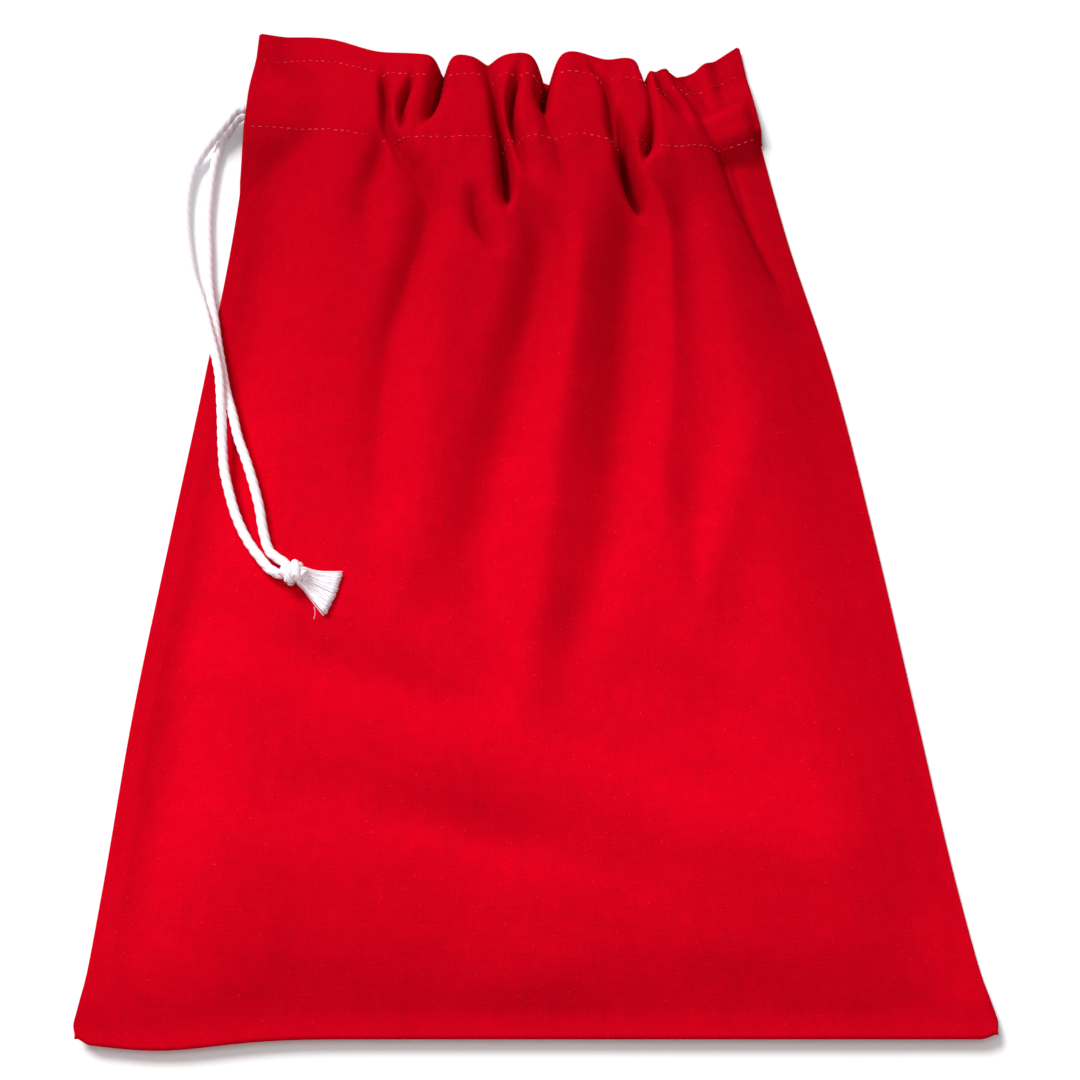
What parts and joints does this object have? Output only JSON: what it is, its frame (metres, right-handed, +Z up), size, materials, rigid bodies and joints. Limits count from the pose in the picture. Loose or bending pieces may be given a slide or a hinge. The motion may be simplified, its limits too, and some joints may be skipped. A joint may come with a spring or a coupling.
{
  "type": "kinchaku drawstring pouch",
  "caption": "Flat drawstring pouch of plain red cotton, gathered at the neck by a white twisted cord that leaves at the left side seam and ends in a knot with a frayed tassel.",
  "frame": {"origin": "under the middle of the pouch, on the surface that it lies on", "axes": "+X to the right and +Y towards the mouth as the front is looked at, +Z up, out of the front"},
  "size_m": [0.2488, 0.342, 0.021],
  "materials": {
    "red_cotton": "matt plain-weave cotton",
    "white_cord": "soft twisted cotton"
  },
  "bodies": {
    "root": {"front_panel": "red_cotton", "back_panel": "red_cotton", "drawcord_in_channel": "white_cord", "drawcord_upper_strand": "white_cord", "drawcord_lower_strand": "white_cord", "cord_knot": "white_cord", "cord_tassel": "white_cord"}
  },
  "joints": []
}
